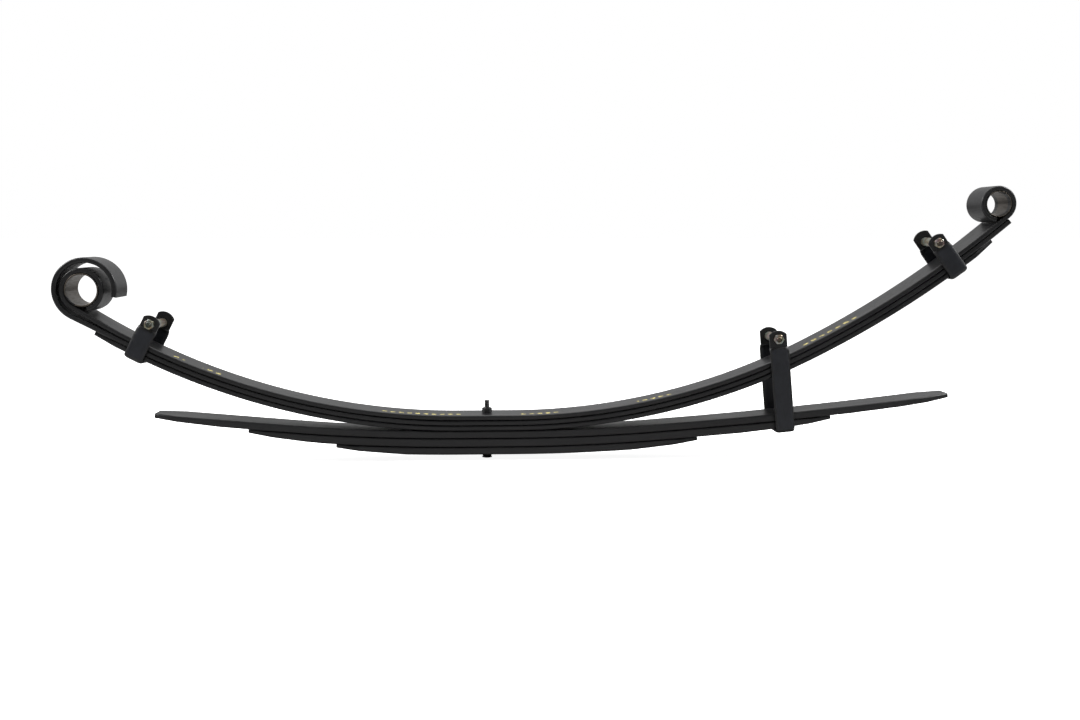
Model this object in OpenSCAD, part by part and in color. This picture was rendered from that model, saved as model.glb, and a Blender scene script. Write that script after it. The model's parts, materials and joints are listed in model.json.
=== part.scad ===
// Leaf spring for the rear axle of a light truck, in its free state.
// Three long leaves carry the eyes, and three thicker helper leaves lie under them at the seat.
// Frame: millimetres. The origin is on the centre bolt's axis at the underside of the seat,
// +X points to the rear eye, Y runs across the leaves and +Z is up.

/* [Leaves] */
// Width of every leaf
leaf_w = 60; // [55:1:64]
// Thickness of each long leaf
long_t = 7.6; // [7:0.1:8]
// Thickness of the upper helper leaf
upper_t = 11.1; // [10:0.1:12]
// Thickness of the middle helper leaf
middle_t = 12.6; // [11:0.1:13]
// Thickness of the lower helper leaf
lower_t = 11.4; // [10:0.1:12]
// Paint gap between two leaves that touch
leaf_gap = 0.1; // [0.1:0.05:0.2]
// Thickness that a helper leaf is rolled down to at its tips
helper_tip_t = 7; // [6:0.5:9]
// Length over which a helper leaf thins towards a tip
taper_len = 100; // [80:5:110]

/* [Camber] */
// Half the length of the straight seat
seat_half = 40; // [35:1:45]
// Radius of the main leaf's top face, front half
front_r = 1005; // [990:5:1020]
// Radius of the main leaf's top face, rear half, next to the seat
rear_r = 976; // [960:4:1000]
// Length of that arc
rear_r_len = 450; // [430:5:470]
// Radius of the main leaf's top face, rear half, towards the eye
rear_end_r = 1460; // [1400:10:1600]
// Radius of the helper leaves, front half
helper_front_r = 2850; // [2700:50:3000]
// Length of that arc, which is straight from there on
helper_front_len = 250; // [230:5:270]
// Radius of the helper leaves, rear half, next to the seat
helper_rear_r = 2900; // [2800:50:3100]
// Length of that arc
helper_rear_len = 200; // [180:5:220]
// Radius of the helper leaves, rear half, towards the tip
helper_rear_end_r = 8500; // [7000:500:9500]

/* [Reach of each leaf from the centre bolt, along the leaf] */
// Main leaf to where its front eye starts to roll
front_reach = 624; // [620:1:630]
// Main leaf to where its rear eye starts to roll
rear_reach = 841; // [835:1:848]
// Second leaf to its rear tip
second_rear = 838; // [820:1:840]
// Third leaf to its front tip
third_front = 580; // [560:1:600]
// Third leaf to its rear tip
third_rear = 803; // [785:1:815]
// Upper helper leaf to its front tip
upper_front = 484; // [470:1:495]
// Upper helper leaf to its rear tip
upper_rear = 693; // [680:1:705]
// Middle helper leaf to its front tip
middle_front = 348; // [340:1:355]
// Middle helper leaf to its rear tip
middle_rear = 513; // [505:1:520]
// Lower helper leaf to its front tip
lower_front = 220; // [210:1:230]
// Lower helper leaf to its rear tip
lower_rear = 311; // [300:1:320]
// Length of the cut that trims each corner of a leaf's tip
corner_len = 35; // [30:1:40]
// Depth of that cut at the very tip
corner_depth = 11.5; // [8:0.5:14]

/* [Eyes] */
// Bore of the front eye's liner, which takes the bush
front_bore = 44; // [42:0.5:46]
// Wall of the front eye's liner
front_liner_t = 2; // [1.5:0.5:3]
// Bore of the rear eye's liner
rear_bore = 36; // [34:0.5:38]
// Wall of the rear eye's liner
rear_liner_t = 1; // [1:0.5:2]
// How far each eye is rolled round its liner, in degrees
eye_roll = 312; // [300:1:314]
// Inner radius of the second leaf's wrap round the front eye
wrap_r = 38.8; // [38.5:0.1:40]
// Arc of the front camber that the second leaf follows before it straightens, in degrees
wrap_start = 27.35; // [27:0.05:27.6]
// Straight length of the second leaf before it wraps
wrap_lead = 98.4; // [96:0.2:101]
// How far the wrap goes round, in degrees
wrap_roll = 257; // [240:1:262]

/* [Clips] */
// Front clip's place along the long leaves
front_clip_at = 511; // [505:1:520]
// Rear clip's place along the long leaves
rear_clip_at = 734; // [725:1:745]
// Middle clip's place along the helper leaves
middle_clip_at = 440; // [430:1:445]
// How far the front clip sits turned on its rivet, in degrees
front_twist = -4; // [-4:0.5:4]
// How far the rear clip sits turned on its rivet, in degrees
rear_twist = -2; // [-4:0.5:4]
// Height of a clip's bolt above the main leaf's top face
clip_rise = 29.5; // [26:0.5:32]
// Height of the middle clip's bolt above the upper helper leaf's top face
middle_rise = 111; // [105:1:116]
// Width of a strap along the leaf
strap_w = 26; // [24:0.5:28]
// Thickness of a strap
strap_t = 3; // [2.5:0.5:4]
// Wall of the rubber sleeve round a strap
sleeve_t = 1.25; // [1:0.25:1.75]
// Distance between a strap's two ears
ear_gap = 58; // [56:1:59]
// Outer radius of a clip's spacer tube
spacer_r = 6.5; // [6:0.25:8]

/* [Centre bolt] */
// Thread radius of the centre bolt and of the clip bolts
bolt_r = 4; // [4:0.5:5]
// Radius of the centre bolt's round head, which locates the spring on the axle
head_r = 7.5; // [7:0.5:9]
// Height of that head below the seat
head_h = 8.5; // [6:0.5:10]
// Length of the centre bolt above the main leaf
bolt_rise = 19; // [16:1:22]
// Height of the centre bolt's nut
centre_nut_h = 8; // [6:0.5:10]
// Height of a clip bolt's nut
nut_h = 6.5; // [5:0.5:8]
// Width of a nut across its flats
nut_flats = 13; // [12:0.5:15]

/* [Hidden] */

round_fn = 96;
fit_gap = 0.05;        // radial room between a piece and the hole that holds it
seat_clearance = 0.25; // radial room round a bolt
shape_step = 0.6;      // degrees between stations on a camber
roll_step = 5;         // degrees between stations on an eye or a wrap
straight_step = 50;    // millimetres between stations on a straight
big_radius = 200;      // an arc above this radius is camber, and below it a roll
over = 1;              // how far a cutter runs past the face that it cuts

steel_black = [0.09, 0.09, 0.10];
bare_steel = [0.45, 0.42, 0.38];
zinc = [0.62, 0.58, 0.50];
rubber_black = [0.05, 0.05, 0.055];

// Heights of the leaves' top faces at the seat
lower_top = lower_t;
middle_top = lower_top + leaf_gap + middle_t;
upper_top = middle_top + leaf_gap + upper_t;
third_top = upper_top + leaf_gap + long_t;
second_top = third_top + leaf_gap + long_t;
main_top = second_top + leaf_gap + long_t;

front_roll_r = front_bore / 2 + front_liner_t + fit_gap;
rear_roll_r = rear_bore / 2 + rear_liner_t + fit_gap;

// ---- Paths -------------------------------------------------------------------------------
// A path is a list of [length, radius] segments that starts level. A radius of 0 is straight,
// and any other bends the path upwards. A state on it is [x, z, heading].

function arc_deg(seg) = seg[1] == 0 ? 0 : seg[0] / seg[1] * 180 / PI;
function step_from(p, seg, part) =
    let (turn = part * arc_deg(seg), r = seg[1], h = p[2])
    r == 0
        ? [p[0] + part * seg[0] * cos(h), p[1] + part * seg[0] * sin(h), h]
        : [p[0] + r * (sin(h + turn) - sin(h)), p[1] + r * (cos(h) - cos(h + turn)), h + turn];

// Number of equal steps that a segment is drawn in
function seg_steps(seg) =
    seg[1] == 0
        ? ceil(seg[0] / straight_step)
        : ceil(arc_deg(seg) / (seg[1] > big_radius ? shape_step : roll_step));

// The first `reach` millimetres of a path
function cut_path(segs, reach, i = 0) =
    i >= len(segs) || reach <= 0 ? [] :
    concat([[min(segs[i][0], reach), segs[i][1]]], cut_path(segs, reach - segs[i][0], i + 1));

// The same path, moved down by `drop` along its normal
function lower_path(segs, drop) =
    [for (s = segs) s[1] == 0 ? s : [s[0] * (s[1] + drop) / s[1], s[1] + drop]];

// Every station on a path that starts at height z, each as [x, z, heading, distance]
function stations(segs, z, i = 0, start = undef, gone = 0) =
    let (p = start == undef ? [0, z, 0] : start)
    i >= len(segs) ? [[p[0], p[1], p[2], gone]] :
    let (n = seg_steps(segs[i]))
    concat(
        [for (k = [0 : n - 1])
            let (q = step_from(p, segs[i], k / n)) [q[0], q[1], q[2], gone + segs[i][0] * k / n]],
        stations(segs, z, i + 1, step_from(p, segs[i], 1), gone + segs[i][0])
    );

function last(list) = list[len(list) - 1];
// A station's point, moved along the normal. side is -1 on the front half and 1 on the rear.
function moved(p, up, side) = [side * (p[0] - up * sin(p[2])), p[1] + up * cos(p[2])];
function reversed(list) = [for (i = [len(list) - 1 : -1 : 0]) list[i]];

long_front = [[seat_half, 0], [front_reach - seat_half, front_r]];
long_rear = [
    [seat_half, 0], [rear_r_len, rear_r],
    [rear_reach - seat_half - rear_r_len, rear_end_r]
];
// The second leaf leaves the main leaf's arc before its wrap, and the third leaf lies under it
wrapped_front = [[seat_half, 0], [wrap_start * PI / 180 * front_r, front_r], [wrap_lead, 0]];
helper_front = [[seat_half, 0], [helper_front_len, helper_front_r], [upper_front, 0]];
helper_rear = [[seat_half, 0], [helper_rear_len, helper_rear_r], [upper_rear, helper_rear_end_r]];

// ---- Leaves ------------------------------------------------------------------------------

// A helper leaf thins over its last taper_len
function helper_thickness(t, gone, reach) =
    t - (t - helper_tip_t) * max(0, gone - (reach - taper_len)) / taper_len;

// Side outline of a leaf of even thickness t whose top face follows the two paths
module leaf_outline(front, rear, z, t) {
    f = stations(front, z);
    r = stations(rear, z);
    polygon(concat(
        [for (p = reversed(f)) moved(p, 0, -1)],
        [for (p = r) moved(p, 0, 1)],
        [for (p = reversed(r)) moved(p, -t, 1)],
        [for (p = f) moved(p, -t, -1)]
    ));
}

// The same with tips that thin towards each end
module helper_outline(front, rear, z, t) {
    f = stations(front, z);
    r = stations(rear, z);
    f_end = last(f)[3];
    r_end = last(r)[3];
    polygon(concat(
        [for (p = reversed(f)) moved(p, 0, -1)],
        [for (p = r) moved(p, 0, 1)],
        [for (p = reversed(r)) moved(p, -helper_thickness(t, p[3], r_end), 1)],
        [for (p = f) moved(p, -helper_thickness(t, p[3], f_end), -1)]
    ));
}

// Stands a side outline up across the spring
module across(width) {
    rotate([90, 0, 0]) linear_extrude(height = width, center = true) children();
}

// Puts children at a station, with their X along the leaf and their Z along its normal
module at_station(p, side) {
    translate([side * p[0], 0, p[1]]) rotate([0, -side * p[2], 0]) children();
}

// The two cutters that trim the corners of a tip whose last station is p
module corner_cutters(p, side) {
    deep = 3 * middle_t;
    lean = corner_depth / corner_len;
    at_station(p, side)
        for (hand = [-1, 1])
            scale([side, hand, 1])
                translate([0, 0, -deep / 2])
                    linear_extrude(height = deep)
                        polygon([
                            [-corner_len - over, leaf_w / 2 + over * lean],
                            [over, leaf_w / 2 - corner_depth - over * lean],
                            [over, leaf_w / 2 + 2 * over],
                            [-corner_len - over, leaf_w / 2 + 2 * over]
                        ]);
}

module bolt_hole() {
    translate([0, 0, -over]) cylinder(h = main_top + 2 * over, r = bolt_r + seat_clearance, $fn = round_fn);
}

// The hole that a clip's rivet fills, through the leaf that the clip is fixed to
module rivet_hole(p, side) {
    at_station(p, side)
        translate([0, 0, -2 * middle_t])
            cylinder(h = 4 * middle_t, r = rivet_r + fit_gap, $fn = round_fn);
}

module main_leaf() {
    front = concat(long_front, [[eye_roll * PI / 180 * front_roll_r, front_roll_r]]);
    rear = concat(long_rear, [[eye_roll * PI / 180 * rear_roll_r, rear_roll_r]]);
    color(steel_black) difference() {
        across(leaf_w) leaf_outline(front, rear, main_top, long_t);
        bolt_hole();
    }
}

// Wraps loosely round the front eye, so that a broken main leaf still holds the axle
module second_leaf() {
    drop = long_t + leaf_gap;
    front = concat(lower_path(wrapped_front, drop), [[wrap_roll * PI / 180 * wrap_r, wrap_r]]);
    rear = lower_path(cut_path(long_rear, second_rear), drop);
    color(steel_black) difference() {
        across(leaf_w) leaf_outline(front, rear, second_top, long_t);
        bolt_hole();
    }
}

module third_leaf() {
    drop = 2 * (long_t + leaf_gap);
    front = lower_path(cut_path(wrapped_front, third_front), drop);
    rear = lower_path(cut_path(long_rear, third_rear), drop);
    color(steel_black) difference() {
        across(leaf_w) leaf_outline(front, rear, third_top, long_t);
        bolt_hole();
        corner_cutters(last(stations(front, third_top)), -1);
        corner_cutters(last(stations(rear, third_top)), 1);
        rivet_hole(front_clip_p, -1);
        rivet_hole(rear_clip_p, 1);
    }
}

module helper_leaf(z, t, front_len, rear_len) {
    drop = upper_top - z;
    front = lower_path(cut_path(helper_front, front_len), drop);
    rear = lower_path(cut_path(helper_rear, rear_len), drop);
    color(steel_black) difference() {
        across(leaf_w) helper_outline(front, rear, z, t);
        bolt_hole();
        corner_cutters(last(stations(front, z)), -1);
        corner_cutters(last(stations(rear, z)), 1);
        children();
    }
}

module upper_helper_leaf() { helper_leaf(upper_top, upper_t, upper_front, upper_rear); }
module middle_helper_leaf() {
    helper_leaf(middle_top, middle_t, middle_front, middle_rear) rivet_hole(middle_clip_p, 1);
}
module lower_helper_leaf() { helper_leaf(lower_top, lower_t, lower_front, lower_rear); }

// ---- Eye liners --------------------------------------------------------------------------

// Thin steel sleeve inside an eye, which takes the bush
module eye_liner(path, side, roll_r, bore) {
    centre = moved(last(stations(path, main_top)), roll_r, side);
    color(bare_steel)
        translate([centre[0], 0, centre[1]]) rotate([90, 0, 0]) difference() {
            cylinder(h = leaf_w, r = roll_r - fit_gap, center = true, $fn = round_fn);
            cylinder(h = leaf_w + 2 * over, r = bore / 2, center = true, $fn = round_fn);
        }
}
module front_eye_liner() { eye_liner(long_front, -1, front_roll_r, front_bore); }
module rear_eye_liner() { eye_liner(long_rear, 1, rear_roll_r, rear_bore); }

// ---- Centre bolt -------------------------------------------------------------------------

module hex_prism(h, flats) { cylinder(h = h, r = flats / sqrt(3), $fn = 6); }

module centre_bolt() {
    chamfer = 1;
    head_edge = 1.5;
    top = main_top + bolt_rise;
    color(steel_black) {
        translate([0, 0, -head_h])
            cylinder(h = head_edge, r1 = head_r - head_edge, r2 = head_r, $fn = round_fn);
        translate([0, 0, head_edge - head_h]) cylinder(h = head_h - head_edge, r = head_r, $fn = round_fn);
        cylinder(h = top - chamfer, r = bolt_r, $fn = round_fn);
        translate([0, 0, top - chamfer])
            cylinder(h = chamfer, r1 = bolt_r, r2 = bolt_r - chamfer, $fn = round_fn);
    }
}

// A hexagon nut, standing on Z = 0, on a bolt along Z
module hex_nut(h) {
    difference() {
        hex_prism(h, nut_flats);
        translate([0, 0, -over]) cylinder(h = h + 2 * over, r = bolt_r + fit_gap, $fn = round_fn);
    }
}
module centre_bolt_nut() { color(steel_black) translate([0, 0, main_top]) hex_nut(centre_nut_h); }

// ---- Clips -------------------------------------------------------------------------------
// Each clip is a U strap in a rubber sleeve, riveted under one leaf, with its two ears joined
// above the main leaf by a bolt through a spacer tube. Its own Z = 0 is that leaf's underside.

side_clearance = 2;
leg_in = leaf_w / 2 + side_clearance + sleeve_t;
leg_out = leg_in + strap_t;
ear_out = ear_gap / 2 + strap_t;
bend_r = 3;
joggle_h = 6;          // height over which a leg steps in to become an ear
joggle_below = 0.8;    // the joggle's top below the sleeve's end
ear_top = 12.5;        // near ear's top above the bolt
ear_round = 18;        // radius of an ear's rounded top
rivet_r = 4;
rivet_head_r = 7;
rivet_head_h = 3;
strap_bottom = -(sleeve_t + strap_t) - fit_gap;
long_stack = 3 * long_t + 2 * leaf_gap;
// The middle helper leaf's thickness over the inner edge of its clip
middle_at_clip = helper_thickness(middle_t, middle_clip_at - strap_w / 2 - sleeve_t, middle_rear);
helper_stack = upper_t + leaf_gap + middle_at_clip;

// A clip is [its bolt's height, its sleeve's end below the bolt, how much taller its far ear is]
long_clip = [long_stack + clip_rise, 7.2, 4.5];
tall_clip = [helper_stack + middle_rise, 12.5, 1];

function clip_station(path, z, at, drop) =
    let (p = last(stations(cut_path(path, at), z)), q = moved(p, -drop, 1)) [q[0], q[1], p[2]];
front_clip_p = clip_station(long_front, main_top, front_clip_at, long_stack);
rear_clip_p = clip_station(long_rear, main_top, rear_clip_at, long_stack);
middle_clip_p = clip_station(helper_rear, upper_top, middle_clip_at, helper_stack);

// The lower right quarter of a ring round the origin
module bend_quarter(outer_r, wall) {
    intersection() {
        difference() {
            circle(r = outer_r, $fn = round_fn);
            circle(r = outer_r - wall, $fn = round_fn);
        }
        translate([0, -outer_r]) square(outer_r);
    }
}

// Half of the U's bottom and its bend in end view, `skin` thicker than the strap on both faces
module half_bottom(skin) {
    out = leg_out + skin;
    low = strap_bottom - skin;
    r = bend_r + strap_t + skin;
    wall = strap_t + 2 * skin;
    translate([0, low]) square([out - r, wall]);
    translate([out - r, low + r]) bend_quarter(r, wall);
}

// One face of a leg and its ear, `skin` outside the strap's outer face, from z = low to top
function leg_face(clip, skin, low, top) =
    let (
        step_top = clip[0] - clip[1] - joggle_below,
        lift = skin * tan(atan((leg_out - ear_out) / joggle_h) / 2)
    )
    [
        [leg_out + skin, low], [leg_out + skin, step_top - joggle_h + lift],
        [ear_out + skin, step_top + lift], [ear_out + skin, top]
    ];

// A leg and its ear as a band, `skin` thicker than the strap on both faces
module leg_band(clip, skin, top) {
    low = strap_bottom + bend_r + strap_t;
    polygon(concat(
        leg_face(clip, skin, low, top),
        reversed(leg_face(clip, -strap_t - skin, low, top))
    ));
}

// Turns an end view (Y across, Z up) into a solid of that length along the leaf
module along(length) {
    rotate([90, 0, 90]) linear_extrude(height = length, center = true) children();
}

// The whole U, as a band with both legs up to `top`
module u_band(clip, skin, length, top) {
    along(length) for (hand = [0, 1]) mirror([hand, 0]) {
        half_bottom(skin);
        leg_band(clip, skin, top);
    }
}

// Everything below an ear's rounded top, on the near side (hand = -1) or the far side (hand = 1)
module under_ear_top(top, hand) {
    translate([0, hand * leaf_w, top - ear_round]) {
        rotate([90, 0, 0]) cylinder(h = 2 * leaf_w, r = ear_round, center = true, $fn = round_fn);
        translate([-strap_w, -leaf_w, -2 * top]) cube([2 * strap_w, 2 * leaf_w, 2 * top]);
    }
}

module clip_strap(clip) {
    bolt_z = clip[0];
    near_top = bolt_z + ear_top;
    far_top = near_top + clip[2];
    color(steel_black) difference() {
        intersection() {
            u_band(clip, 0, strap_w, far_top);
            union() {
                under_ear_top(near_top, -1);
                under_ear_top(far_top, 1);
            }
        }
        translate([0, 0, bolt_z]) rotate([90, 0, 0])
            cylinder(h = 2 * leaf_w, r = bolt_r + seat_clearance, center = true, $fn = round_fn);
        translate([0, 0, 2 * strap_bottom])
            cylinder(h = -2 * strap_bottom, r = rivet_r + fit_gap, $fn = round_fn);
    }
}

module clip_sleeve(clip) {
    top = clip[0] - clip[1];
    color(rubber_black) difference() {
        u_band(clip, sleeve_t, strap_w + 2 * sleeve_t, top);
        u_band(clip, fit_gap, strap_w + 2 * fit_gap, top + over);
        translate([0, 0, 2 * strap_bottom])
            cylinder(h = -strap_bottom, r = rivet_head_r + fit_gap, $fn = round_fn);
        translate([0, 0, 2 * strap_bottom])
            cylinder(h = -3 * strap_bottom, r = rivet_r + fit_gap, $fn = round_fn);
    }
}

module clip_spacer(clip) {
    color(zinc) translate([0, 0, clip[0]]) rotate([90, 0, 0]) difference() {
        cylinder(h = ear_gap - 2 * fit_gap, r = spacer_r, center = true, $fn = round_fn);
        cylinder(h = 2 * ear_gap, r = bolt_r + seat_clearance, center = true, $fn = round_fn);
    }
}

// The head is on the far side, and the nut on the near side
module clip_bolt(clip) {
    head = 5.3;
    past = 2;
    color(zinc) translate([0, 0, clip[0]]) rotate([-90, 0, 0]) {
        translate([0, 0, ear_out]) hex_prism(head, nut_flats);
        translate([0, 0, -ear_out - nut_h - past])
            cylinder(h = 2 * ear_out + nut_h + past + head / 2, r = bolt_r, $fn = round_fn);
    }
}

module clip_nut(clip) {
    color(zinc) translate([0, -ear_out, clip[0]]) rotate([90, 0, 0]) hex_nut(nut_h);
}

// Flush with the top of the leaf that it holds, with a shallow round head under the strap
module clip_rivet(leaf_t) {
    dome_r = (rivet_head_r * rivet_head_r + rivet_head_h * rivet_head_h) / (2 * rivet_head_h);
    color(steel_black) {
        translate([0, 0, strap_bottom])
            cylinder(h = leaf_t - strap_bottom - fit_gap, r = rivet_r, $fn = round_fn);
        intersection() {
            translate([0, 0, strap_bottom - rivet_head_h + dome_r]) sphere(r = dome_r, $fn = round_fn);
            translate([0, 0, strap_bottom - rivet_head_h])
                cylinder(h = rivet_head_h, r = rivet_head_r, $fn = round_fn);
        }
    }
}

module front_clip() { at_station(front_clip_p, -1) rotate([0, 0, front_twist]) children(); }
module rear_clip() { at_station(rear_clip_p, 1) rotate([0, 0, rear_twist]) children(); }
module middle_clip() { at_station(middle_clip_p, 1) children(); }

// ---- Nodes -------------------------------------------------------------------------------

main_leaf();
second_leaf();
third_leaf();
upper_helper_leaf();
middle_helper_leaf();
lower_helper_leaf();
front_eye_liner();
rear_eye_liner();
centre_bolt();
centre_bolt_nut();
front_clip() clip_strap(long_clip);  // front_clip_strap
front_clip() clip_sleeve(long_clip);  // front_clip_sleeve
front_clip() clip_spacer(long_clip);  // front_clip_spacer
front_clip() clip_bolt(long_clip);  // front_clip_bolt
front_clip() clip_nut(long_clip);  // front_clip_nut
front_clip() clip_rivet(long_t);  // front_clip_rivet
middle_clip() clip_strap(tall_clip);  // middle_clip_strap
middle_clip() clip_sleeve(tall_clip);  // middle_clip_sleeve
middle_clip() clip_spacer(tall_clip);  // middle_clip_spacer
middle_clip() clip_bolt(tall_clip);  // middle_clip_bolt
middle_clip() clip_nut(tall_clip);  // middle_clip_nut
middle_clip() clip_rivet(middle_at_clip);  // middle_clip_rivet
rear_clip() clip_strap(long_clip);  // rear_clip_strap
rear_clip() clip_sleeve(long_clip);  // rear_clip_sleeve
rear_clip() clip_spacer(long_clip);  // rear_clip_spacer
rear_clip() clip_bolt(long_clip);  // rear_clip_bolt
rear_clip() clip_nut(long_clip);  // rear_clip_nut
rear_clip() clip_rivet(long_t);  // rear_clip_rivet
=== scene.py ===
"""Looks for the leaf spring: a finished piece for each CAD node, its materials, and the studio.

Metres, in the CAD frame: +X to the rear eye, +Z up, and the camera looks along +Y from the near side.
"""

import json
import math

import bmesh
import bpy
from mathutils import Matrix, Vector


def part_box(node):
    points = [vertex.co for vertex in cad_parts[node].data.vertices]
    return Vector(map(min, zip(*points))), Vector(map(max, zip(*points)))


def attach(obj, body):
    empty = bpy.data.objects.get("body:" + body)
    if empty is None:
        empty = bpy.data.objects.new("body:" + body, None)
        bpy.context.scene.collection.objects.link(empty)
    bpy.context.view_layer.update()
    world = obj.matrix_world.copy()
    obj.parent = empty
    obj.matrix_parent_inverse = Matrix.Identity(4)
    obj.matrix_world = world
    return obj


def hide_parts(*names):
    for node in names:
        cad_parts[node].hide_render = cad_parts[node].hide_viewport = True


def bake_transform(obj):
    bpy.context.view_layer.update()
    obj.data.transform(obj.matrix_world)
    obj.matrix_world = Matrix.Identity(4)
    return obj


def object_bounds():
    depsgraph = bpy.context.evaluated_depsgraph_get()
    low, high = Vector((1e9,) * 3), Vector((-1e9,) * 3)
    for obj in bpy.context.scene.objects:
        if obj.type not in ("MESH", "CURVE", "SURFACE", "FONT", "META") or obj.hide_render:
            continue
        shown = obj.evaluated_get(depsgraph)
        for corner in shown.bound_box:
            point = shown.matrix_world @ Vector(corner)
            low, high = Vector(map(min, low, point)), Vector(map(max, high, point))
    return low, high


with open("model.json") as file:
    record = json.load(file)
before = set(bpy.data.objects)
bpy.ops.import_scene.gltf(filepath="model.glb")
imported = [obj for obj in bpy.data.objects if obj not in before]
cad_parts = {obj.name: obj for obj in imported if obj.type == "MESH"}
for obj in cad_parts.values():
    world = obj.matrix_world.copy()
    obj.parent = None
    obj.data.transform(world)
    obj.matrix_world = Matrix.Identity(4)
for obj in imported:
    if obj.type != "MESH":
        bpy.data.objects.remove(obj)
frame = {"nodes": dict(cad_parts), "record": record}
CAD_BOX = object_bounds()
NODES = frame["nodes"]
BODY_OF = {node: body for body, nodes in frame["record"]["behaviour"]["bodies"].items() for node in nodes}

MM = 0.001
CLIPS = ("front", "middle", "rear")

# Sizes from the frame
LEAF_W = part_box("main_leaf")[1][1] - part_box("main_leaf")[0][1]
SEAT_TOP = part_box("centre_bolt_nut")[0][2]

# Sizes that the CAD part has too, but that no box gives
BOLT_R = 4 * MM
STRAP_T = 3 * MM
STRAP_BEND_R = 3 * MM
JOGGLE_H = 6 * MM

# How finely meshes are made and cleaned
ROUND_POINTS = 72
SHARP = math.radians(30)
SMOOTH_UNDER = math.radians(38)
FLAT_WITHIN = math.radians(0.1)
WELD = 0.01 * MM
HOLE_EDGE = 2 * MM


# ---- Mesh helpers --------------------------------------------------------------------------


def finish_piece(name, bm, material, node):
    """Turns a bmesh into a shown piece that stands for a CAD node."""
    mesh = bpy.data.meshes.new(name)
    bmesh.ops.recalc_face_normals(bm, faces=bm.faces)
    bm.to_mesh(mesh)
    bm.free()
    mesh.polygons.foreach_set("use_smooth", [True] * len(mesh.polygons))
    mesh.set_sharp_from_angle(angle=SMOOTH_UNDER)
    coords = [0.0] * (3 * len(mesh.vertices))
    mesh.vertices.foreach_get("co", coords)
    rest = mesh.attributes.new("rest_pos", "FLOAT_VECTOR", "POINT")
    rest.data.foreach_set("vector", coords)
    mesh.materials.append(material)
    piece = bpy.data.objects.new(name, mesh)
    bpy.context.scene.collection.objects.link(piece)
    weighted = piece.modifiers.new("Weighted normals", "WEIGHTED_NORMAL")
    weighted.keep_sharp = True
    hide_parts(node)
    return piece


def cad_copy(node):
    """A bmesh of a CAD node, with its flat faces made whole."""
    bm = bmesh.new()
    bm.from_mesh(NODES[node].data)
    bmesh.ops.remove_doubles(bm, verts=bm.verts, dist=WELD)
    bmesh.ops.dissolve_limit(bm, angle_limit=FLAT_WITHIN, verts=bm.verts, edges=bm.edges)
    return bm


def quarter_turn(steps):
    """Angles from 0 to 90 degrees, both included."""
    return [math.pi / 2 * k / steps for k in range(steps + 1)]


def is_hole_rim(edge):
    """True for a short edge of a small round hole near the middle of a leaf."""
    near_middle = all(abs(v.co.y) < LEAF_W / 8 for v in edge.verts)
    return near_middle and edge.calc_length() < HOLE_EDGE


def is_across(edge):
    """True for a long sharp edge that runs across the leaf."""
    reach = abs(edge.verts[1].co.y - edge.verts[0].co.y)
    return reach > LEAF_W / 4 and edge.calc_face_angle(0) > SHARP


def is_cut_end(edge):
    """True for an edge of a leaf's sheared end, which stays sharp."""
    return any(sum(is_across(e) for e in face.edges) >= 2 for face in edge.link_faces)


def round_edges(bm, radius, segments, skip=lambda edge: False):
    """Rounds every sharp edge that skip doesn't pick."""
    sharp = [
        e for e in bm.edges
        if len(e.link_faces) == 2 and e.calc_face_angle() > SHARP and not skip(e)
    ]
    bmesh.ops.bevel(
        bm, geom=sharp, offset=radius, offset_type="OFFSET", segments=segments, profile=0.5,
        affect="EDGES", clamp_overlap=False, loop_slide=True,
    )


def ring_solid(rings, closed=False):
    """A closed bmesh through rings of equal point counts.

    Open ends are capped, or the last ring joins the first.
    """
    bm = bmesh.new()
    loops = [[bm.verts.new(p) for p in ring] for ring in rings]
    pairs = list(zip(loops, loops[1:]))
    if closed:
        pairs.append((loops[-1], loops[0]))
    else:
        bm.faces.new(loops[0])
        bm.faces.new(reversed(loops[-1]))
    for low, high in pairs:
        for i in range(len(low)):
            k = (i + 1) % len(low)
            bm.faces.new((low[i], high[i], high[k], low[k]))
    return bm


def ring(z, radius_at):
    """A ring round Z at that height. radius_at gives the radius at each angle."""
    angles = [2 * math.pi * i / ROUND_POINTS for i in range(ROUND_POINTS)]
    return [Vector((radius_at(a) * math.cos(a), radius_at(a) * math.sin(a), z)) for a in angles]


def round_ring(z, radius):
    return ring(z, lambda a: radius)


def spans(node, origin, axis):
    """Lowest and highest place of a node's points along an axis through origin."""
    places = [(v.co - origin).dot(axis) for v in NODES[node].data.vertices]
    return min(places), max(places)


def centre_of(node):
    low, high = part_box(node)
    return (Vector(low) + Vector(high)) / 2


def facing(node, direction):
    """Normal of the node's largest flat face that looks roughly along a direction."""
    roughly = 0.8
    faces = [p for p in NODES[node].data.polygons if p.normal.dot(direction) > roughly]
    return max(faces, key=lambda p: p.area).normal.copy()


# ---- Leaves --------------------------------------------------------------------------------

LEAF_EDGE_R = 2.6 * MM
LEAF_EDGE_STEPS = 4

# Where a long leaf's two halves meet, on the straight of the seat beside the bolt's hole
CUT_X = 50 * MM

# For each half: the body at its end, where its bend starts and stops, and the side that is cut away
FLEX = {
    "front": ("front_end", (-0.14, 0, 0), (-0.46, 0, 0), (1, 0, 0)),
    "rear": ("rear_end", (0.16, 0, 0), (0.50, 0, 0), (-1, 0, 0)),
}


def rolled_leaf(node):
    """A leaf with the round edges that rolled spring steel has."""
    bm = cad_copy(node)
    round_edges(bm, LEAF_EDGE_R, LEAF_EDGE_STEPS, skip=lambda e: is_hole_rim(e) or is_cut_end(e))
    return bm


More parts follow.
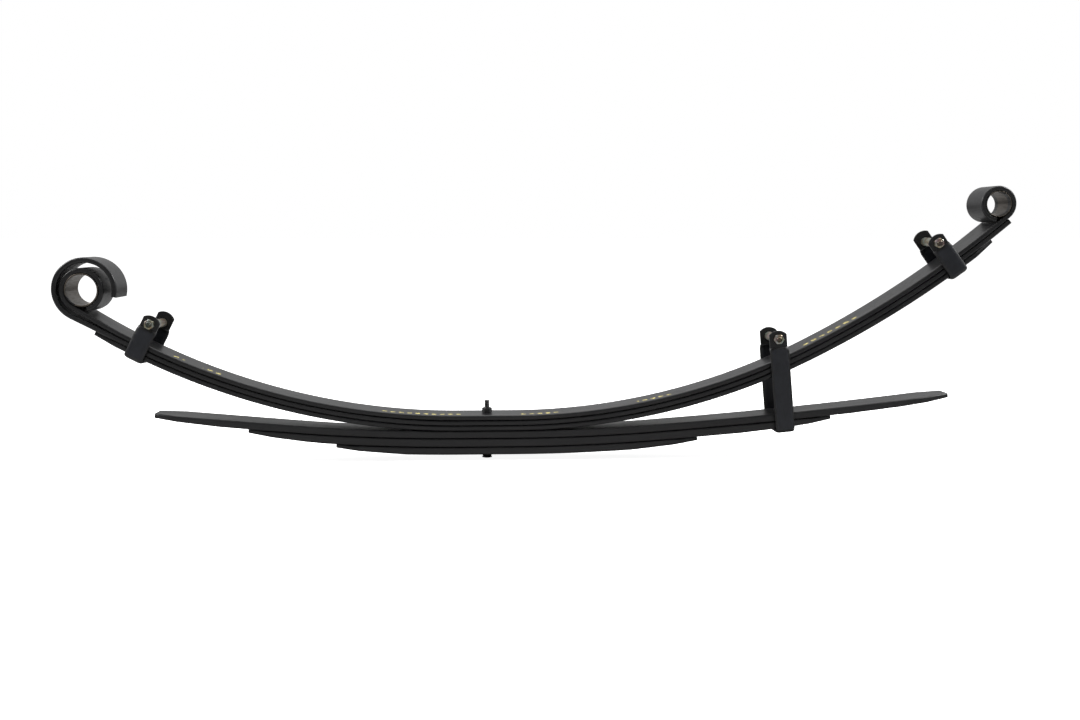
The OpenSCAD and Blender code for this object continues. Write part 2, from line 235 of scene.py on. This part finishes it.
def long_leaf(node, material):
    """A leaf as two pieces, one for each end, that meet on the seat."""
    for end, (body, start, stop, away) in FLEX.items():
        bm = rolled_leaf(node)
        cut = bmesh.ops.bisect_plane(
            bm, geom=bm.verts[:] + bm.edges[:] + bm.faces[:],
            plane_co=(CUT_X, 0, 0), plane_no=away, clear_outer=True,
        )
        edges = [g for g in cut["geom_cut"] if isinstance(g, bmesh.types.BMEdge)]
        bmesh.ops.holes_fill(bm, edges=edges)
        piece = finish_piece(f"{node}_{end}_half", bm, material, node)
        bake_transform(piece)


def helper_leaf(node, material):
    piece = finish_piece(f"{node}_finished", rolled_leaf(node), material, node)
    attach(piece, BODY_OF[node])


# ---- Eye liners ----------------------------------------------------------------------------


LINER_CHAMFER = 0.35 * MM


def eye_liner(end, material):
    """A thin steel tube with chamfered ends, along Y."""
    node = f"{end}_eye_liner"
    mid = centre_of(node)
    low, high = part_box(node)
    half = (high[1] - low[1]) / 2
    outer = (high[2] - low[2]) / 2
    bore = min(math.hypot(v.co.x - mid.x, v.co.z - mid.z) for v in NODES[node].data.vertices)
    edge = LINER_CHAMFER
    profile = [
        (-half, bore + edge), (-half, outer - edge), (-half + edge, outer),
        (half - edge, outer), (half, outer - edge), (half, bore + edge),
        (half - edge, bore), (-half + edge, bore),
    ]
    bm = ring_solid([round_ring(z, r) for z, r in profile], closed=True)
    bm.transform(Matrix.Translation(mid) @ Matrix.Rotation(math.pi / 2, 4, "X"))
    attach(finish_piece(f"{node}_tube", bm, material, node), BODY_OF[node])


# ---- Nuts and bolts ------------------------------------------------------------------------


THREAD_PITCH = 1.25 * MM
THREAD_DEPTH = 0.55 * MM
THREAD_STEPS = 8
THREAD_RUN_OUT = 0.1 * MM
BOLT_CHAMFER = 1 * MM
NUT_SINK = 0.6 * MM
HEX_FACE_R = 0.475
HEX_CHAMFER = math.radians(60)
HEAD_ROUND_R = 1.5 * MM
HEAD_BREAK = 0.2 * MM


def hexagon(flats):
    """Radius of a hexagon at each angle."""
    return lambda a: flats / 2 / math.cos(a % (math.pi / 3) - math.pi / 6)


def chamfered(flats, depth):
    """Radius of a hexagon whose corners are cut by a cone, that deep under its face."""
    cone = HEX_FACE_R * flats + depth * math.tan(HEX_CHAMFER)
    return lambda a: min(hexagon(flats)(a), cone)


CHAMFER_DEPTHS = [0, 0.25 * MM, 0.5 * MM, 0.8 * MM, 1.2 * MM]


def nut_rings(low, high, flats, bore):
    """A hexagon nut between two heights, chamfered on both faces and countersunk."""
    rings = [round_ring(low, bore + NUT_SINK)]
    rings += [ring(low + d, chamfered(flats, d)) for d in CHAMFER_DEPTHS]
    rings += [ring(high - d, chamfered(flats, d)) for d in reversed(CHAMFER_DEPTHS)]
    rings.append(round_ring(high, bore + NUT_SINK))
    rings += [round_ring(high - NUT_SINK, bore), round_ring(low + NUT_SINK, bore)]
    return rings


def hex_head_rings(low, high, flats):
    """A bolt's hexagon head, its outer face at low."""
    rings = [ring(low, chamfered(flats, 0))]
    rings += [ring(low + d, chamfered(flats, d)) for d in CHAMFER_DEPTHS[1:]]
    rings.append(ring(high, hexagon(flats)))
    return rings


def thread_rings(low, high, radius):
    """A helical thread with a chamfered end at high."""
    count = math.ceil((high - low) / THREAD_PITCH * THREAD_STEPS)
    rings = []
    for k in range(count + 1):
        z = low + (high - low) * k / count
        limit = radius - max(0, z - (high - BOLT_CHAMFER))

        def thread(a, z=z, limit=limit):
            phase = (z / THREAD_PITCH - a / (2 * math.pi)) % 1
            return min(limit, radius - THREAD_DEPTH * abs(2 * phase - 1))

        rings.append(ring(z, thread))
    return rings


def centre_bolt(material):
    """Round head under the seat, plain shank through the leaves and a thread above them."""
    low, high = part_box("centre_bolt")
    head_r = (high[0] - low[0]) / 2
    # The head's rings run from its side down to its lower rim, and then from its top to the shank
    rings = []
    for t in (math.pi / 2, 1.2, 0.8, 0.4, 0):
        up = HEAD_ROUND_R * (1 - math.cos(t))
        inset = HEAD_ROUND_R * (1 - math.sin(t))
        rings.append(round_ring(low[2] + up, head_r - inset))
    rings += [round_ring(-HEAD_BREAK, head_r), round_ring(0, head_r - HEAD_BREAK)]
    rings += [round_ring(0, BOLT_R), round_ring(SEAT_TOP, BOLT_R)]
    rings += thread_rings(SEAT_TOP + THREAD_RUN_OUT, high[2], BOLT_R)
    bm = ring_solid(rings)
    piece = finish_piece("centre_bolt_threaded", bm, material, "centre_bolt")
    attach(piece, BODY_OF["centre_bolt"])


def centre_nut(material):
    low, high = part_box("centre_bolt_nut")
    flats = min(high[0] - low[0], high[1] - low[1])
    bm = ring_solid(nut_rings(low[2], high[2], flats, BOLT_R), closed=True)
    piece = finish_piece("centre_bolt_nut_chamfered", bm, material, "centre_bolt_nut")
    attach(piece, BODY_OF["centre_bolt_nut"])


# ---- Clips ---------------------------------------------------------------------------------


def clip_frame(clip):
    """The clip's own frame at its bolt's middle: X along the leaf, Y to the far side, Z up the legs."""
    far = facing(f"{clip}_clip_spacer", Vector((0, 1, 0)))
    up = facing(f"{clip}_clip_rivet", Vector((0, 0, 1)))
    along = far.cross(up).normalized()
    up = along.cross(far)
    turn = Matrix((along, far, up)).transposed().to_4x4()
    return Matrix.Translation(centre_of(f"{clip}_clip_spacer")) @ turn


def near_frame(clip):
    """The same place, with Z along the bolt towards the near side."""
    return clip_frame(clip) @ Matrix.Rotation(math.pi / 2, 4, "X")


def clip_piece(clip, part, kind, bm, material):
    node = f"{clip}_clip_{part}"
    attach(finish_piece(f"{node}_{kind}", bm, material, node), BODY_OF[node])


def clip_axis(clip):
    """The bolt's middle and the direction to the near side."""
    place = clip_frame(clip)
    return place.translation, -place.col[1].xyz


def clip_nut(clip, material):
    """A chamfered nut on the near ear. Returns its two heights along the bolt and its size."""
    mid, near = clip_axis(clip)
    low, high = spans(f"{clip}_clip_nut", mid, near)
    points = [v.co - mid for v in NODES[f"{clip}_clip_nut"].data.vertices]
    corner = max((p - near * p.dot(near)).length for p in points)
    flats = corner * math.sqrt(3)
    bm = ring_solid(nut_rings(low, high, flats, BOLT_R), closed=True)
    bm.transform(near_frame(clip))
    clip_piece(clip, "nut", "chamfered", bm, material)
    return low, high, flats


def clip_bolt(clip, nut, material):
    """Hexagon head against the far ear, shank through both ears, and a thread past the nut."""
    nut_low, nut_high, flats = nut
    mid, near = clip_axis(clip)
    low, high = spans(f"{clip}_clip_bolt", mid, near)
    thread_from = nut_high - NUT_SINK
    rings = hex_head_rings(low, -nut_low, flats)
    rings += [round_ring(-nut_low, BOLT_R), round_ring(thread_from, BOLT_R)]
    rings += thread_rings(thread_from + THREAD_RUN_OUT, high, BOLT_R)
    bm = ring_solid(rings)
    bm.transform(near_frame(clip))
    clip_piece(clip, "bolt", "threaded", bm, material)


def rounded_copy(clip, part, radius, material):
    """A clip's strap, spacer or rivet, with its edges broken."""
    bm = cad_copy(f"{clip}_clip_{part}")
    round_edges(bm, radius, segments=2)
    clip_piece(clip, part, "finished", bm, material)


SLEEVE_STEPS = 6
SLEEVE_FLAT = 0.53
SLEEVE_LIP = 0.4 * MM
SLEEVE_INNER_CORNER = 0.5 * MM
SLEEVE_BELOW_STEP = 0.8 * MM


def sleeve_section(half_w, half_t, flat):
    """Half-round sided section, as (along, out) points."""
    corner = [
        (flat + (half_w - flat) * math.sin(t), half_t * math.cos(t))
        for t in quarter_turn(SLEEVE_STEPS)
    ]
    right = corner + [(x, -y) for x, y in reversed(corner[:-1])]
    return right + [(-x, -y) for x, y in right]


def sleeve_path(ear, leg, low, top, step_top):
    """The strap's centreline in the end view, from the near ear to the far ear, as (y, z) points."""
    r = STRAP_BEND_R + STRAP_T / 2
    bend = [
        (leg - r + r * math.sin(t), low + r - r * math.cos(t))
        for t in quarter_turn(SLEEVE_STEPS)
    ]
    side = bend + [(leg, step_top - JOGGLE_H), (ear, step_top), (ear, top)]
    return [(-y, z) for y, z in reversed(side)] + side


def swept(path, section, inset=0.0):
    """Rings of a section swept along a path, mitred at each bend. inset shortens both ends."""
    sharpest = 0.5
    points = [Vector((y, z)) for y, z in path]
    points[0] += (points[1] - points[0]).normalized() * inset
    points[-1] += (points[-2] - points[-1]).normalized() * inset
    rings = []
    for i, p in enumerate(points):
        before = (p - points[i - 1]).normalized() if i else (points[1] - p).normalized()
        after = (points[i + 1] - p).normalized() if i + 1 < len(points) else before
        run = (before + after).normalized()
        out = Vector((run.y, -run.x)) / max(sharpest, run.dot(before))
        rings.append([Vector((x, p.x + out.x * d, p.y + out.y * d)) for x, d in section])
    return rings


def clip_sleeve(clip, material):
    """A rubber tube over the strap, with a flat middle and thin round sides."""
    node = f"{clip}_clip_sleeve"
    place = clip_frame(clip)
    mid, far, up = place.translation, place.col[1].xyz, place.col[2].xyz
    out = spans(node, mid, far)[1]
    low, top = spans(node, mid, up)
    skin = out - spans(f"{clip}_clip_strap", mid, far)[1]
    half_t = STRAP_T / 2 + skin
    half_w = spans(node, mid, place.col[0].xyz)[1]
    ear = spans(f"{clip}_clip_nut", mid, -far)[0] - STRAP_T / 2
    path = sleeve_path(ear, out - half_t, low + half_t, top, top - SLEEVE_BELOW_STEP)
    outer = sleeve_section(half_w, half_t, SLEEVE_FLAT * half_w)
    lip = sleeve_section(half_w - SLEEVE_LIP, half_t - SLEEVE_LIP, SLEEVE_FLAT * half_w)
    inner = sleeve_section(half_w - skin, STRAP_T / 2, half_w - skin - SLEEVE_INNER_CORNER)
    body = swept(path, outer, inset=SLEEVE_LIP)
    lips = swept(path, lip)
    rings = [lips[0]] + body + [lips[-1]] + list(reversed(swept(path, inner)))
    bm = ring_solid(rings, closed=True)
    bm.transform(place)
    clip_piece(clip, "sleeve", "moulded", bm, material)


# ---- Material nodes ------------------------------------------------------------------------


def add(tree, kind, inputs=None, **settings):
    """Adds a node. inputs maps a socket's name or number to a value or to another socket."""
    node = tree.nodes.new(kind)
    for key, value in settings.items():
        setattr(node, key, value)
    for key, value in (inputs or {}).items():
        if isinstance(value, bpy.types.NodeSocket):
            tree.links.new(value, node.inputs[key])
        else:
            node.inputs[key].default_value = value
    return node


def rest_place(tree, scale):
    """The point's place at rest, times a scale per axis, so that patterns ride with a bending leaf."""
    place = add(tree, "ShaderNodeAttribute", attribute_name="rest_pos")
    scaled = add(tree, "ShaderNodeVectorMath", {0: place.outputs["Vector"], 1: scale}, operation="MULTIPLY")
    return scaled.outputs[0]


def rest_xyz(tree):
    """The point's place at rest, split into X, Y and Z."""
    return add(tree, "ShaderNodeSeparateXYZ", {0: rest_place(tree, (1, 1, 1))}).outputs


def normal_xyz(tree):
    """The direction that the surface faces, split into X, Y and Z."""
    face = add(tree, "ShaderNodeNewGeometry")
    return add(tree, "ShaderNodeSeparateXYZ", {0: face.outputs["Normal"]}).outputs


def noise(tree, scale, detail=4.0, rough=0.55, stretch=(1, 1, 1)):
    """Noise from 0 to 1, with about this many features a metre."""
    place = rest_place(tree, tuple(s * scale for s in stretch))
    node = add(
        tree, "ShaderNodeTexNoise",
        {"Vector": place, "Scale": 1.0, "Detail": detail, "Roughness": rough},
    )
    return node.outputs["Fac"]


def remap(tree, value, low, high, to_low=0.0, to_high=1.0):
    node = add(
        tree, "ShaderNodeMapRange",
        {"Value": value, "From Min": low, "From Max": high, "To Min": to_low, "To Max": to_high},
        clamp=True,
    )
    return node.outputs["Result"]


def spread(tree, pattern, to_low=0.0, to_high=1.0):
    """Spreads the range that a noise mostly takes over another range."""
    return remap(tree, pattern, 0.3, 0.7, to_low, to_high)


def inside(tree, value, start, stop, soft):
    """1 between two places and 0 outside, with soft ends."""
    rise = remap(tree, value, start - soft, start + soft)
    fall = remap(tree, value, stop - soft, stop + soft, 1.0, 0.0)
    return math_of(tree, "MULTIPLY", rise, fall)


def math_of(tree, operation, a, b=0.0):
    return add(tree, "ShaderNodeMath", {0: a, 1: b}, operation=operation).outputs[0]


def mix_colour(tree, fac, a, b):
    """a where fac is 0, and b where it is 1."""
    a = a if isinstance(a, bpy.types.NodeSocket) else (*a, 1)
    b = b if isinstance(b, bpy.types.NodeSocket) else (*b, 1)
    return add(tree, "ShaderNodeMix", {0: fac, 6: a, 7: b}, data_type="RGBA").outputs[2]


def edge_mask(tree, radius):
    """1 on an edge and 0 on a flat."""
    bevel = add(tree, "ShaderNodeBevel", {"Radius": radius}, samples=4)
    face = add(tree, "ShaderNodeNewGeometry")
    dot = add(
        tree, "ShaderNodeVectorMath",
        {0: bevel.outputs["Normal"], 1: face.outputs["Normal"]}, operation="DOT_PRODUCT",
    )
    return remap(tree, math_of(tree, "SUBTRACT", 1.0, dot.outputs["Value"]), 0.02, 0.12)


def bumps(tree, layers):
    """Stacks height layers, each as (height, strength, distance), into one normal."""
    normal = None
    for height, strength, distance in layers:
        inputs = {"Height": height, "Strength": strength, "Distance": distance}
        if normal is not None:
            inputs["Normal"] = normal
        normal = add(tree, "ShaderNodeBump", inputs).outputs["Normal"]
    return normal


def new_material(name):
    """A material with its node tree and its shader."""
    material = bpy.data.materials.new(name)
    material.use_nodes = True
    tree = material.node_tree
    return material, tree, tree.nodes["Principled BSDF"]


def wire(tree, shader, colour, roughness, normal, metallic=None):
    """Links the finished channels into the shader."""
    tree.links.new(colour, shader.inputs["Base Color"])
    tree.links.new(roughness, shader.inputs["Roughness"])
    tree.links.new(normal, shader.inputs["Normal"])
    if metallic is not None:
        tree.links.new(metallic, shader.inputs["Metallic"])


# ---- Materials -----------------------------------------------------------------------------

# Where the yellow stock marks lie on the main leaf, from and to along X
MARKS = [
    (-0.455, -0.438), (-0.409, -0.384), (-0.155, -0.035),
    (0.052, 0.106), (0.222, 0.273), (0.470, 0.550),
]
MARK_BAND = (-20 * MM, -12 * MM)
MARK_YELLOW = (0.85, 0.72, 0.22)
MARK_STRENGTH = 0.7
TICK_PITCH = 12 * MM


def mark_mask(tree):
    """Short worn ticks along the near part of the top face."""
    place = rest_xyz(tree)
    wander = spread(tree, noise(tree, 60, detail=2), -2.5 * MM, 2.5 * MM)
    x = math_of(tree, "ADD", place["X"], wander)
    y = math_of(tree, "ADD", place["Y"], wander)
    along = None
    for start, stop in MARKS:
        mark = inside(tree, x, start, stop, 1.2 * MM)
        along = mark if along is None else math_of(tree, "MAXIMUM", along, mark)
    band = inside(tree, y, *MARK_BAND, 1 * MM)
    beat = math_of(tree, "PINGPONG", place["X"], TICK_PITCH / 2)
    ticks = remap(tree, beat, TICK_PITCH * 0.20, TICK_PITCH * 0.24)
    worn = remap(tree, noise(tree, 260, detail=5, rough=0.7), 0.40, 0.52)
    on_top = remap(tree, normal_xyz(tree)["Z"], 0.3, 0.6)
    mask = math_of(tree, "MULTIPLY", along, band)
    for part in (worn, ticks, on_top):
        mask = math_of(tree, "MULTIPLY", mask, part)
    return math_of(tree, "MULTIPLY", mask, MARK_STRENGTH)


def leaf_paint(name, marked=False):
    """Thin satin black paint over shot-peened spring steel, dusty, streaked and chipped on its edges."""
    material, tree, shader = new_material(name)
    cloud = noise(tree, 22, detail=5, stretch=(0.35, 1, 1))
    streak = noise(tree, 260, detail=5, stretch=(0.06, 1, 1))
    grain = noise(tree, 1500, detail=3)
    pits = noise(tree, 520, detail=5, rough=0.65)
    peel = noise(tree, 900, detail=2)
    dust = noise(tree, 75, detail=8, rough=0.7)
    deep, light = (0.0055, 0.0055, 0.0062), (0.011, 0.011, 0.012)
    thin, dusty, bare = (0.019, 0.019, 0.020), (0.034, 0.032, 0.030), (0.15, 0.14, 0.13)
    colour = mix_colour(tree, remap(tree, cloud, 0.35, 0.65), deep, light)
    colour = mix_colour(tree, remap(tree, streak, 0.5, 0.72, 0.0, 0.5), colour, thin)
    colour = mix_colour(tree, remap(tree, dust, 0.58, 0.74, 0.0, 0.45), colour, dusty)
    chip = math_of(tree, "MULTIPLY", edge_mask(tree, 1.2 * MM), remap(tree, pits, 0.52, 0.62))
    colour = mix_colour(tree, math_of(tree, "MULTIPLY", chip, 0.6), colour, bare)
    if marked:
        colour = mix_colour(tree, mark_mask(tree), colour, MARK_YELLOW)
    rough = math_of(tree, "ADD", spread(tree, cloud, 0.33, 0.43), spread(tree, grain, -0.05, 0.05))
    rough = math_of(tree, "ADD", rough, remap(tree, dust, 0.55, 0.75, 0.0, 0.14))
    normal = bumps(tree, [(pits, 0.22, 0.35 * MM), (streak, 0.10, 0.20 * MM), (peel, 0.14, 0.12 * MM)])
    wire(tree, shader, colour, rough, normal)
    return material


def clip_paint():
    """Gloss black paint on the straps and rivets."""
    material, tree, shader = new_material("clip_paint_black")
    cloud = noise(tree, 60, detail=4)
    peel = noise(tree, 700, detail=2)
    pits = noise(tree, 1300, detail=4)
    wear = math_of(tree, "MULTIPLY", edge_mask(tree, 0.5 * MM), remap(tree, pits, 0.5, 0.6))
    deep, light, bare = (0.004, 0.004, 0.0045), (0.009, 0.009, 0.010), (0.16, 0.15, 0.14)
    colour = mix_colour(tree, spread(tree, cloud), deep, light)
    colour = mix_colour(tree, math_of(tree, "MULTIPLY", wear, 0.7), colour, bare)
    rough = math_of(tree, "ADD", spread(tree, cloud, 0.28, 0.42), remap(tree, pits, 0.4, 0.7, 0.0, 0.10))
    normal = bumps(tree, [(peel, 0.16, 0.15 * MM), (pits, 0.10, 0.08 * MM)])
    wire(tree, shader, colour, rough, normal)
    return material


def black_fastener():
    """Black oxide with an oil film, rubbed on its edges."""
    material, tree, shader = new_material("fastener_black_oxide")
    cloud = noise(tree, 240, detail=5)
    grain = noise(tree, 2200, detail=3)
    wear = math_of(tree, "MULTIPLY", edge_mask(tree, 0.4 * MM), remap(tree, cloud, 0.42, 0.58))
    deep, light, bare = (0.014, 0.014, 0.016), (0.034, 0.033, 0.034), (0.24, 0.23, 0.22)
    colour = mix_colour(tree, spread(tree, cloud), deep, light)
    colour = mix_colour(tree, math_of(tree, "MULTIPLY", wear, 0.8), colour, bare)
    rough = spread(tree, cloud, 0.30, 0.48)
    metal = remap(tree, wear, 0.0, 1.0, 0.25, 0.95)
    normal = bumps(tree, [(cloud, 0.10, 0.12 * MM), (grain, 0.12, 0.05 * MM)])
    wire(tree, shader, colour, rough, normal, metal)
    return material


def liner_steel(name, painted):
    """Bare scratched steel, with black overspray this far in from each end, and bare spots on the rims that
    are partly worn paint and partly a painted highlight for the bright arcs on the eye's inner edge.
    """
    material, tree, shader = new_material(name)
    from_middle = math_of(tree, "ABSOLUTE", rest_xyz(tree)["Y"])
    spray = noise(tree, 420, detail=5)
    reach = math_of(tree, "ADD", from_middle, spread(tree, spray, -1.6 * MM, 1.6 * MM))
    bare_to = LEAF_W / 2 - painted
    paint = remap(tree, reach, bare_to - 0.8 * MM, bare_to + 0.8 * MM)
    # Bare rim spots: partly paint worn off the rim, partly a painted highlight that gives the bright arcs
    # along the eye's inner edge.
    rim = remap(tree, from_middle, LEAF_W / 2 - 0.7 * MM, LEAF_W / 2 - 0.4 * MM)
    rubbed = math_of(tree, "MULTIPLY", rim, remap(tree, noise(tree, 55, detail=2), 0.44, 0.52))
    paint = math_of(tree, "SUBTRACT", paint, math_of(tree, "MULTIPLY", paint, rubbed))
    cloud = noise(tree, 90, detail=6, rough=0.65)
    scratch = noise(tree, 900, detail=4, stretch=(1, 0.05, 1))
    turned = noise(tree, 1200, detail=2, stretch=(0.2, 1, 0.2))
    dull, bright = (0.085, 0.073, 0.060), (0.17, 0.15, 0.128)
    brown, black = (0.075, 0.060, 0.047), (0.007, 0.007, 0.008)
    colour = mix_colour(tree, remap(tree, cloud, 0.32, 0.68), dull, bright)
    colour = mix_colour(tree, remap(tree, scratch, 0.52, 0.66, 0.0, 0.6), colour, brown)
    colour = mix_colour(tree, paint, colour, black)
    rough = math_of(tree, "ADD", spread(tree, cloud, 0.30, 0.46), remap(tree, scratch, 0.4, 0.7, -0.06, 0.08))
    metal = math_of(tree, "MULTIPLY", math_of(tree, "SUBTRACT", 1.0, paint), 0.85)
    normal = bumps(tree, [(scratch, 0.25, 0.10 * MM), (turned, 0.20, 0.08 * MM), (cloud, 0.10, 0.20 * MM)])
    wire(tree, shader, colour, rough, normal, metal)
    return material


def zinc_plate(name, tone):
    """Passivated zinc plate, with pink, green and yellow tints. tone scales how light it is."""
    material, tree, shader = new_material(name)

    def shade(r, g, b):
        return (tone * r, tone * g, tone * b)

    yellow, grey = shade(0.42, 0.34, 0.22), shade(0.40, 0.43, 0.41)
    pink, green, speck = shade(0.46, 0.27, 0.30), shade(0.28, 0.40, 0.29), shade(0.16, 0.14, 0.12)
    tint = noise(tree, 150, detail=3)
    other = noise(tree, 90, detail=3, rough=0.7)
    grain = noise(tree, 1600, detail=4)
    colour = mix_colour(tree, remap(tree, tint, 0.40, 0.60), yellow, grey)
    colour = mix_colour(tree, remap(tree, other, 0.52, 0.66, 0.0, 0.7), colour, pink)
    colour = mix_colour(tree, remap(tree, other, 0.48, 0.34, 0.0, 0.5), colour, green)
    colour = mix_colour(tree, remap(tree, grain, 0.56, 0.70, 0.0, 0.4), colour, speck)
    rough = math_of(tree, "ADD", spread(tree, tint, 0.26, 0.38), spread(tree, grain, -0.04, 0.08))
    shader.inputs["Metallic"].default_value = 0.9
    normal = bumps(tree, [(grain, 0.15, 0.06 * MM), (tint, 0.08, 0.20 * MM)])
    wire(tree, shader, colour, rough, normal)
    return material


def sleeve_rubber():
    """Moulded black rubber with fine mould grain; its flat middle is painted lighter and cooler as a painted
    sheen, and its round sides near black as painted shade.
    """
    material, tree, shader = new_material("sleeve_rubber_black")
    cloud = noise(tree, 70, detail=5)
    grain = noise(tree, 1900, detail=3)
    scuff = noise(tree, 500, detail=6, stretch=(1, 1, 0.15))
    deep, light = (0.009, 0.010, 0.014), (0.016, 0.018, 0.025)
    side, scuffed = (0.002, 0.002, 0.0025), (0.030, 0.033, 0.041)
    # Painted sheen and shade: faces that look along Y keep the lighter, cooler rubber colour as a painted
    # sheen, and the round sides turn near black as painted shade.
    flat = remap(tree, math_of(tree, "ABSOLUTE", normal_xyz(tree)["Y"]), 0.90, 0.99)
    colour = mix_colour(tree, flat, side, mix_colour(tree, spread(tree, cloud), deep, light))
    colour = mix_colour(tree, remap(tree, scuff, 0.56, 0.70, 0.0, 0.4), colour, scuffed)
    rough = math_of(tree, "ADD", spread(tree, cloud, 0.40, 0.52), remap(tree, scuff, 0.4, 0.7, -0.05, 0.08))
    normal = bumps(tree, [(grain, 0.20, 0.08 * MM), (cloud, 0.10, 0.40 * MM)])
    wire(tree, shader, colour, rough, normal)
    return material


# ---- Studio --------------------------------------------------------------------------------


CAMERA_PLACE = (-0.019, -1.869, 0.3253)
CAMERA_DOWN = 5.755
CAMERA_RIGHT = 3.005
CAMERA_LENS = 42.2

# The floor's colour to the camera, and the darker one that the paint reflects
FLOOR_SEEN = (0.92, 0.92, 0.92)
FLOOR_REFLECTED = (0.30, 0.30, 0.30)
FLOOR_HALF = 60


def add_camera():
    """Seen from the near side, a little above, with the seat left of the middle."""
    data = bpy.data.cameras.new("camera")
    data.lens = CAMERA_LENS
    data.sensor_width = 36
    data.clip_end = 200
    camera = bpy.data.objects.new("camera", data)
    camera.location = CAMERA_PLACE
    camera.rotation_euler = (math.radians(90 - CAMERA_DOWN), 0, math.radians(-CAMERA_RIGHT))
    bpy.context.scene.collection.objects.link(camera)
    bpy.context.scene.camera = camera


def add_softbox(name, place, aim, size, watts):
    """A rectangular light at a place, turned to face another."""
    data = bpy.data.lights.new(name, "AREA")
    data.shape = "RECTANGLE"
    data.size, data.size_y = size
    data.energy = watts
    light = bpy.data.objects.new(name, data)
    light.location = place
    light.rotation_euler = (Vector(aim) - Vector(place)).to_track_quat("-Z", "Y").to_euler()
    bpy.context.scene.collection.objects.link(light)


def add_world():
    """White to the camera. The paint sees more light from behind the spring, and a patch at the camera."""
    world = bpy.data.worlds.new("studio")
    bpy.context.scene.world = world
    world.use_nodes = True
    tree = world.node_tree
    tree.nodes.clear()
    way = add(tree, "ShaderNodeSeparateXYZ", {0: add(tree, "ShaderNodeTexCoord").outputs["Generated"]})
    behind = remap(tree, way.outputs["Y"], -0.1, 0.5, 0.05, 0.55)
    front = remap(tree, way.outputs["Y"], -0.98, -0.72, 0.35, 0.0)
    level = math_of(tree, "ADD", behind, front)
    seen = add(tree, "ShaderNodeLightPath").outputs["Is Camera Ray"]
    strength = add(tree, "ShaderNodeMix", {0: seen, 2: level, 3: 1.0}).outputs[0]
    back = add(tree, "ShaderNodeBackground", {"Color": (1, 1, 1, 1), "Strength": strength})
    add(tree, "ShaderNodeOutputWorld", {"Surface": back.outputs[0]})


def add_floor(height):
    """A wide white floor at the spring's lowest point, which reflects less in the paint than it shows."""
    mesh = bpy.data.meshes.new("floor")
    corners = [(x * FLOOR_HALF, y * FLOOR_HALF, height) for x, y in ((-1, -1), (1, -1), (1, 1), (-1, 1))]
    mesh.from_pydata(corners, [], [(0, 1, 2, 3)])
    material, tree, shader = new_material("floor_white")
    seen = add(tree, "ShaderNodeLightPath").outputs["Is Camera Ray"]
    tree.links.new(mix_colour(tree, seen, FLOOR_REFLECTED, FLOOR_SEEN), shader.inputs["Base Color"])
    tree.links.new(math_of(tree, "MULTIPLY", seen, 0.9), shader.inputs["Emission Strength"])
    shader.inputs["Emission Color"].default_value = (1, 1, 1, 1)
    shader.inputs["Roughness"].default_value = 0.9
    mesh.materials.append(material)
    floor = bpy.data.objects.new("floor", mesh)
    bpy.context.scene.collection.objects.link(floor)


# ---- Build ---------------------------------------------------------------------------------

black_paint = leaf_paint("leaf_paint_black")
strap_black = clip_paint()
oxide = black_fastener()
zinc = zinc_plate("zinc_passivated", 1.0)
# The clip bolts take the zinc at under a third of its lightness, so that each bolt end reads darker than its
# nut.
darker_zinc = zinc_plate("zinc_darker", 0.3)
rubber = sleeve_rubber()

long_leaf("main_leaf", leaf_paint("leaf_paint_marked", marked=True))
long_leaf("second_leaf", black_paint)
long_leaf("third_leaf", black_paint)
for place in ("upper", "middle", "lower"):
    helper_leaf(f"{place}_helper_leaf", black_paint)

eye_liner("front", liner_steel("liner_steel_front", 3 * MM))
eye_liner("rear", liner_steel("liner_steel_rear", 12 * MM))
centre_bolt(oxide)
centre_nut(oxide)

for clip in CLIPS:
    clip_bolt(clip, clip_nut(clip, zinc), darker_zinc)
    rounded_copy(clip, "strap", 0.5 * MM, strap_black)
    rounded_copy(clip, "rivet", 0.3 * MM, strap_black)
    rounded_copy(clip, "spacer", 0.3 * MM, zinc)
    clip_sleeve(clip, rubber)

add_camera()
add_world()
add_floor(CAD_BOX[0][2])
add_softbox("softbox_top", (0.1, 0.3, 2.2), (0.1, 0, 0), (2.6, 1.6), 40)
add_softbox("softbox_left", (-2.0, -0.05, 1.5), (-0.5, 0, 0.2), (0.9, 0.7), 60)
add_softbox("softbox_right", (2.1, -0.05, 1.6), (0.6, 0, 0.3), (0.9, 0.7), 60)
bpy.context.scene.view_settings.view_transform = "Standard"
